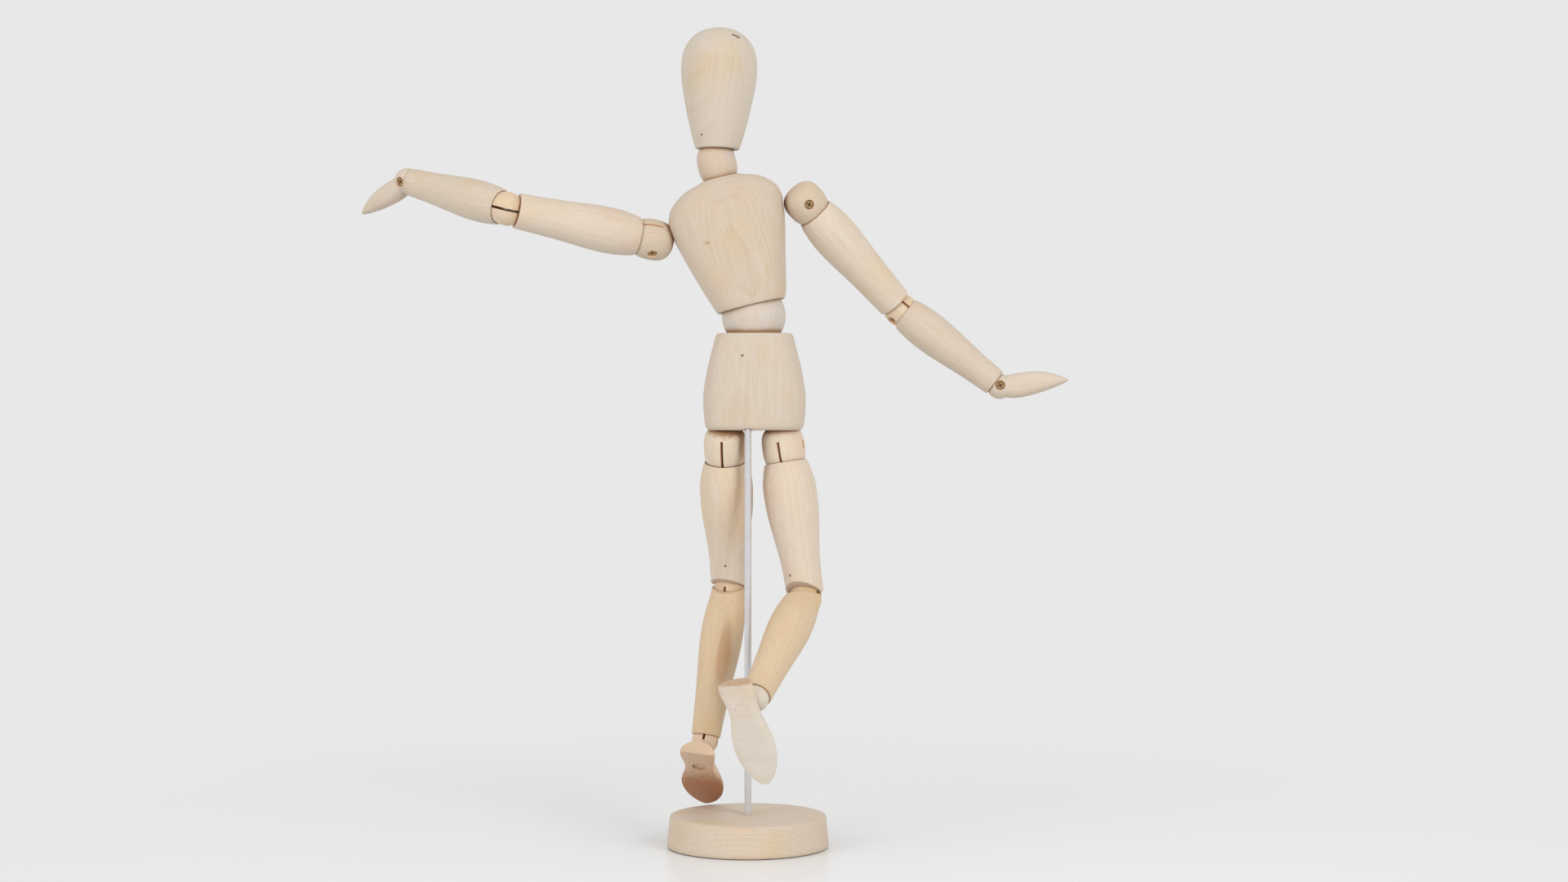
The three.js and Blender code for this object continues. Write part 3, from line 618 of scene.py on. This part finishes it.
# ---- Tones, as linear albedo ---------------------------------------------------------
TONE = {
    "head": (0.526, 0.465, 0.393), "neck_ball": (0.528, 0.442, 0.397), "chest": (0.516, 0.437, 0.355),
    "waist_ball": (0.536, 0.482, 0.422), "pelvis": (0.523, 0.452, 0.376), "base": (0.563, 0.477, 0.386),
    "shoulder_ball": (0.525, 0.435, 0.336), "upper_arm": (0.578, 0.495, 0.408),
    "elbow_ball": (0.60, 0.49, 0.38), "forearm": (0.529, 0.451, 0.363), "hand": (0.543, 0.47, 0.389),
    "hip_ball": (0.596, 0.509, 0.403), "thigh": (0.588, 0.502, 0.411), "knee_ball": (0.58, 0.46, 0.33),
    # The shin tone is partly painted shade, browner than the wood alone; foot_left is a browner copy of the
    # foot's wood, painted shade for the left foot, whose sole faces down toward the base
    "shin": (0.571, 0.439, 0.294), "foot_left": (0.617, 0.473, 0.345), "foot_right": (0.598, 0.538, 0.468),
}


# ---- Stand -----------------------------------------------------------------------------
def build_stand():
    low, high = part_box("base_disc")
    h = BASE["height"]
    profile = [(0, 0), (BASE["bottom"] - 1.0, 0), (BASE["bottom"] - 0.3, 0.3), (BASE["bottom"], 1.0)]
    steps = [k / 8 for k in range(1, 8)]
    profile += [(BASE["bottom"] + (BASE["top"] - BASE["bottom"]) * t, 1.0 + (h - 1.9) * t) for t in steps]
    profile += [(BASE["top"], h - 0.9), (BASE["top"] - 0.25, h - 0.3), (BASE["top"] - 0.9, h),
                (BASE["top"] - 6, h), (BASE["top"] * 0.5, h), (6, h), (ROD_RADIUS + 0.1, h),
                (ROD_RADIUS + 0.1, ROD_SEAT), (0, ROD_SEAT)]
    base = to_object("base_disc", lathe(profile, 160), wood(
        "base_wood", TONE["base"], 11, pith=(70, 12), spacing=2.0, rings=0.55, fibre=0.5, along="X",
        contact_shade=0.12, marks=[((x, y, h), (3.4, 0.9, 3), (0.78, 0.66, 0.58), 0.65) for x, y in BASE_LINE]))
    centre = Matrix.Translation(((low[0] + high[0]) / 2, (low[1] + high[1]) / 2, low[2]))
    place(base, centre, "stand", "base_wood", "base_disc")
    rod_low, rod_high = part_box("stand_rod")
    length = (rod_high[2] - rod_low[2]) * 1000
    rod = to_object("stand_rod", lathe([
        (0, 0), (ROD_RADIUS - 0.2, 0), (ROD_RADIUS, 0.2), (ROD_RADIUS, length / 2),
        (ROD_RADIUS, length - 0.4), (ROD_RADIUS - 0.4, length), (0, length)], 48), ROD_STEEL)
    place(rod, Matrix.Translation(box_foot("stand_rod")), "stand", "rod_steel", "stand_rod")


# ---- Torso and head ----------------------------------------------------------------------
def spindle_ball(name, radius, tone, seed, matrix, body, outline=None, **look):
    outline = barrel(*(outline or (radius, radius, 2.0)))
    obj = to_object(name, lathe(outline, 112), wood(name + "_wood", tone, seed, **look))
    cone = [(0, -radius * 1.2), (radius * 0.8, -radius * 1.2), (0, radius * 0.3)]
    combine(obj, lathe(cone, 48))
    place(obj, matrix, body, "ball_wood", name)


def build_torso():
    foot = box_foot("pelvis")
    pelvis_at = Matrix.Translation(foot)
    waist = (Vector(at("waist_bend")) - foot) * 1000
    skin = wood("pelvis_wood", TONE["pelvis"], 21, pith=(30, 22), rings=0.4, marks=[
        ((-6, -13.5, 8.5), (6.5, 6, 9), (0.93, 0.85, 0.72), 0.3)])
    pelvis = to_object("pelvis", oval_loft(PELVIS, 3), skin)
    combine(pelvis, ball(BALL["waist"] + SEAT_GAP, waist, 112, 64), material=skin)
    for side in SIDES:
        hip = (Vector(at("hip_swing_" + side)) - foot) * 1000
        combine(pelvis, ball(PELVIS_SEAT, hip), material=skin)
    rod = box_foot("stand_rod")
    rod_top = (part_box("stand_rod")[1][2] - foot.z) * 1000
    rod_at = (rod - foot) * 1000
    combine(pelvis, moved(bar(1.8, -1, rod_top + 0.3), (rod_at.x, rod_at.y, 0)))
    combine(pelvis, moved(bar(2.7, -1, 0.9), (rod_at.x, rod_at.y, 0)))
    combine(pelvis, moved(bar(1.5, 21, 36), (waist.x, waist.y, 0)))
    pin_x, pin_y, pin_z = PELVIS_PIN
    combine(pelvis, moved(brad_hole(pin_z, -pin_y, 0), (pin_x, 0, 0)))
    place(pelvis, pelvis_at, "pelvis", "limb_wood", "pelvis")
    brad("pelvis_pin", (pin_z, -pin_y, 0), pelvis_at @ Matrix.Translation((pin_x / 1000, 0, 0)), "pelvis")

    chest_at = pose(at("neck_twist"), axis("neck_twist"), axis("shoulder_turn_right"))
    chest_at.translation = Vector(at("waist_bend"))
    waist_at = Matrix.Translation(Vector(at("waist_bend")))
    # The waist ball's patch is painted shade: a brown band round its lower part, where it sits in the pelvis
    spindle_ball("waist_ball", BALL["waist"], TONE["waist_ball"], 22, waist_at, "waist_ball", marks=[
        ((0, 0, -7.6), (40, 40, 2.4), (0.80, 0.62, 0.46), 0.8)])
    skin = wood("chest_wood", TONE["chest"], 23, pith=(3, -40), spacing=1.3, rings=0.65, marks=[
        ((-11.2, -14, 32.1), (1.4, 4, 0.9), (0.80, 0.60, 0.50), 0.8)])
    chest = to_object("chest", oval_loft(CHEST, 2.7, CHEST_SHIFT), skin)
    combine(chest, ball(BALL["waist"] + SEAT_GAP, (0, 0, 0), 112, 64), material=skin)
    combine(chest, ball(NECK_SEAT, (0, 0, NECK_ABOVE_WAIST)), material=skin)
    for side, sign in SIDES.items():
        socket = (sign * SHOULDER_OUT[side], 0, SHOULDER_ABOVE_WAIST)
        combine(chest, ball(CHEST_SOCKET[side], socket), material=skin)
    combine(chest, bar(3.4, 8, NECK_ABOVE_WAIST))
    place(chest, chest_at, "chest", "limb_wood", "chest")

    neck_at = chest_at.copy()
    neck_at.translation = Vector(at("neck_nod"))
    spindle_ball("neck_ball", BALL["neck"], TONE["neck_ball"], 24, neck_at, "neck_ball", NECK_BARREL)
    lean = math.radians(-HEAD_LEAN)
    head_at = Matrix.Translation(Vector(at("neck_nod"))) @ Matrix.Rotation(lean, 4, "Y")
    low = HEAD[0][1]
    open_angle = math.pi - math.acos(low / NECK_SEAT)
    inside = arc(NECK_SEAT, 0, math.pi, open_angle, 14)
    outer = smooth(HEAD, 7)
    profile = inside + [(HEAD[0][0] - 0.4, low), (HEAD[0][0] - 0.1, low + 0.12)] + outer[1:]
    head = to_object("head", lathe(profile, 128), wood(
        "head_wood", TONE["head"], 25, pith=(34, 30), rings=0.45, marks=[
            ((6.65 + k * 1.0, -9.1, 50.8 - abs(k) * 0.15 - k * 0.42), (1.0, 5, 0.42), (0.16, 0.11, 0.08), 1.0)
            for k in (-1, 0, 1)] + [((0, -14, 38), (19, 10, 7), (0.99, 0.955, 0.86), 0.6)]))
    height, outward, turn = HEAD_PIN
    combine(head, brad_hole(height, outward, turn))
    place(head, head_at, "head", "limb_wood", "head")
    brad("head_pin", HEAD_PIN, head_at, "head")


# ---- Arms ----------------------------------------------------------------------------------
def build_arm(side, sign):
    seed = 40 if sign < 0 else 60
    s = "_" + side
    upper_at = pose(at("arm_twist" + s), axis("arm_twist" + s), axis("shoulder_swing" + s))
    fore_at = pose(at("elbow_bend" + s), axis("wrist_twist" + s), axis("elbow_bend" + s))
    hand_at = pose(at("wrist_bend" + s), -Vector(HAND_DOWN[side]), axis("wrist_bend" + s))
    elbow_x = upper_at.to_3x3().inverted() @ Vector(axis("elbow_bend" + s))
    elbow_turn = math.degrees(math.atan2(elbow_x.y, elbow_x.x))
    fold = -sign

    joint_ball("shoulder_ball" + s, BALL["shoulder"], TONE["shoulder_ball"], seed + 1, upper_at,
               "shoulder_ball" + s, -1, 0)
    screw("shoulder_screw_head" + s, BALL["shoulder"], upper_at, "shoulder_ball" + s, "shoulder_screw" + s)
    cut = moved(turned(relief(*ELBOW_RELIEF, fold, -1), elbow_turn), (0, 0, -LENGTH["upper_arm"]))
    limb("upper_arm" + s, "upper_arm", upper_at, "upper_arm" + s, TONE["upper_arm"], seed + 2,
         "shoulder", "elbow", None, None, through=ARM_BORE, cuts=[cut])
    joint_ball("elbow_ball" + s, BALL["elbow"], TONE["elbow_ball"], seed + 3, fore_at, "forearm" + s,
               1, 0, peg=-1)
    screw("elbow_screw_head" + s, BALL["elbow"], fore_at, "forearm" + s, "elbow_screw" + s)
    limb("forearm" + s, "forearm", fore_at, "forearm" + s, TONE["forearm"], seed + 4,
         "elbow", "wrist", (SMALL_BORE, PEG_BORE_DEPTH), (SMALL_BORE, END_BORE_DEPTH),
         cuts=[relief(*ELBOW_RELIEF, fold, 1)])
    build_hand(side, sign, hand_at, seed + 5)


def build_hand(side, sign, matrix, seed):
    rings = []
    width = sign * HAND_WIDTH[side]
    for z, near, full, half in smooth(HAND, 5):
        middle, across = (near + full) / 2, (full - near) / 2
        ring = []
        for k in range(64):
            t = 2 * math.pi * k / 64
            c, s = math.cos(t), math.sin(t)
            reach = (abs(c) ** 2.3 + abs(s) ** 2.3) ** (-1 / 2.3)
            ring.append((c * reach * half, (middle + s * reach * across) * width, z))
        rings.append(ring)
    rings.append([(0, HAND_TIP[1] * width, HAND_TIP[0])])
    skin = wood("hand_" + side + "_wood", TONE["hand"], seed, spacing=2.2)
    hand = to_object("hand_" + side, shell(rings), skin)
    combine(hand, ball(BALL["wrist"], around=64, down=40), "UNION", skin)
    combine(hand, kerf(BALL["wrist"], 1, KERF_PAST_CENTRE["wrist"]))
    combine(hand, screw_hole(BALL["wrist"]))
    place(hand, matrix, "hand_" + side, "limb_wood", "hand_" + side)
    screw("wrist_screw_head_" + side, BALL["wrist"], matrix, "hand_" + side, "wrist_screw_" + side)


# ---- Legs ----------------------------------------------------------------------------------
def build_leg(side, sign):
    seed = 80 if sign < 0 else 100
    s = "_" + side
    thigh_at = pose(at("thigh_twist" + s), axis("thigh_twist" + s), axis("hip_swing" + s))
    knee_at = pose(at("knee_bend" + s), axis("thigh_twist" + s), axis("knee_bend" + s))
    shin_at = pose(at("knee_bend" + s), axis("ankle_twist" + s), axis("knee_bend" + s))
    foot_at = pose(at("ankle_bend" + s), -Vector(FOOT_DOWN[side]), axis("ankle_bend" + s))
    knee_x = thigh_at.to_3x3().inverted() @ Vector(axis("knee_bend" + s))
    knee_turn = math.degrees(math.atan2(knee_x.y, knee_x.x))
    outward = 0 if sign > 0 else 180
    inward = 180 - outward

    # The hip ball's patches are painted shade at its top, where it meets the pelvis, and a painted shadow of
    # the rod on its inner side
    joint_ball("hip_ball" + s, BALL["hip"], TONE["hip_ball"], seed + 1, thigh_at, "hip_ball" + s, -1, outward,
               marks=[((-sign * 3, 0, 10), (16, 16, 5), (0.52, 0.34, 0.22), 0.9),
                      ((-sign * 9.5, -3, 2), (4, 9, 10), (0.68, 0.50, 0.37), 0.8)])
    screw("hip_screw_head" + s, BALL["hip"], thigh_at, "hip_ball" + s, "hip_screw" + s, outward)
    down = (0, 0, -LENGTH["thigh"])
    cuts = [moved(turned(relief(*THIGH_RELIEF, -1, -1), knee_turn), down),
            moved(turned(brad_hole(*THIGH_PIN[side]), knee_turn), down)]
    limb("thigh" + s, "thigh", thigh_at, "thigh" + s, TONE["thigh"], seed + 2, "hip", "knee",
         (ARM_BORE, THIGH_BORE_DEPTH), (SMALL_BORE, PEG_BORE_DEPTH), cuts=cuts)
    brad("thigh_pin" + s, THIGH_PIN[side], knee_at, "thigh" + s)
    joint_ball("knee_ball" + s, BALL["knee"], TONE["knee_ball"], seed + 3, knee_at, "thigh" + s, -1,
               outward, peg=1)
    screw("knee_screw_head" + s, BALL["knee"], knee_at, "thigh" + s, "knee_screw" + s, outward)
    limb("shin" + s, "shin", shin_at, "shin" + s, TONE["shin"], seed + 4, "knee", "ankle",
         (SMALL_BORE, SHIN_BORE_DEPTH), (SMALL_BORE, END_BORE_DEPTH),
         cuts=[relief(*SHIN_RELIEF[side], -1, 1)], rings=0.22, marks=SHIN_SHADOW_AND_LINE[side])
    build_foot(side, foot_at, seed + 5, inward)


def build_foot(side, matrix, seed, screw_turn):
    rings = []
    across = 40
    for y, half, height in smooth(FOOT, 5):
        ring = []
        for k in range(across + 1):
            t = math.pi * k / across
            ring.append((half * math.cos(t), y, SOLE + 0.35 + (height - 0.35) * math.sin(t)))
        e = min(0.35, half * 0.4)
        ring += [(-half + e * 0.3, y, SOLE + 0.1), (-half + e, y, SOLE)]
        ring += [((-half + e) * f, y, SOLE) for f in (0.6, 0.2, -0.2, -0.6)]
        ring += [(half - e, y, SOLE), (half - e * 0.3, y, SOLE + 0.1)]
        rings.append(ring)
    skin = wood("foot_" + side + "_wood", TONE["foot_" + side], seed, rings=0.12,
                along="X" if side == "right" else "Y", marks=FOOT_PAINTED_SHADE[side])
    foot = to_object("foot_" + side, turned(shell(rings), -TOE_OUT[side]), skin)
    combine(foot, ball(BALL["ankle"], around=64, down=40), "UNION", skin)
    combine(foot, kerf(BALL["ankle"], 1, KERF_PAST_CENTRE["ankle"]))
    combine(foot, screw_hole(BALL["ankle"], screw_turn))
    combine(foot, bar(2.9, SOLE - 1, SOLE + PLUG_DEPTH[side]), material=skin)
    place(foot, matrix, "foot_" + side, "limb_wood", "foot_" + side)
    screw("ankle_screw_head_" + side, BALL["ankle"], matrix, "foot_" + side, "ankle_screw_" + side,
          screw_turn)


build_stand()
build_torso()
for side, sign in SIDES.items():
    build_arm(side, sign)
    build_leg(side, sign)

FINISH = {"tab": STEEL, "link": STEEL, "spring": SPRING_STEEL}
for name, obj in frame["nodes"].items():
    for word, material in FINISH.items():
        if word in name:
            obj.data.materials.clear()
            obj.data.materials.append(material)


# ---- Floor, light and camera -----------------------------------------------------------------
BACKDROP = srgb(232, 232, 232)


def build_floor():
    bm = bmesh.new()
    bmesh.ops.create_grid(bm, x_segments=8, y_segments=8, size=30)
    mesh = bpy.data.meshes.new("floor")
    bm.to_mesh(mesh)
    bm.free()
    floor = bpy.data.objects.new("floor", mesh)
    bpy.context.scene.collection.objects.link(floor)
    floor.location.z = CAD_BOX[0][2] - 0.0002
    m, tree = new_material("floor")
    coords = node(tree, "TexCoord").outputs["Object"]
    away = vcalc(tree, "LENGTH", coords)
    body = node(tree, "BsdfPrincipled", {
        "Base Color": rgba((0.755, 0.755, 0.755)), "Roughness": 0.3, "IOR": 1.35}).outputs["BSDF"]
    far = node(tree, "Emission", {"Color": rgba(BACKDROP), "Strength": 1.0}).outputs["Emission"]
    blend = node(tree, "MixShader", {0: remap(tree, away, 0.08, 0.45)})
    tree.links.new(body, blend.inputs[1])
    tree.links.new(far, blend.inputs[2])
    finish_material(tree, blend.outputs[0])
    mesh.materials.append(m)


def area_light(name, place_at, aim, size, watts, colour=(1, 1, 1)):
    data = bpy.data.lights.new(name, "AREA")
    data.shape = "RECTANGLE"
    data.size, data.size_y = size
    data.energy = watts
    data.color = colour
    lamp = bpy.data.objects.new(name, data)
    bpy.context.scene.collection.objects.link(lamp)
    lamp.location = place_at
    lamp.visible_glossy = False
    lamp.rotation_euler = (Vector(aim) - Vector(place_at)).to_track_quat("-Z", "Y").to_euler()


build_floor()
world = bpy.data.worlds.new("studio")
bpy.context.scene.world = world
world.use_nodes = True
world.node_tree.nodes["Background"].inputs["Color"].default_value = rgba(BACKDROP)
world.node_tree.nodes["Background"].inputs["Strength"].default_value = 1.0
MIDDLE = (0, 0, 0.17)
area_light("key", (0.7, -0.95, 0.6), MIDDLE, (0.5, 0.7), 8)
area_light("fill", (-0.95, -0.9, 0.4), MIDDLE, (0.7, 0.9), 7.5)

camera = bpy.data.cameras.new("camera")
camera.lens = 55
camera.sensor_width = 36
eye = bpy.data.objects.new("camera", camera)
bpy.context.scene.collection.objects.link(eye)
eye.location = (0.0145, -0.964, 0.163)
eye.rotation_euler = (math.pi / 2, 0, 0)
bpy.context.scene.camera = eye
bpy.context.scene.view_settings.view_transform = "Standard"
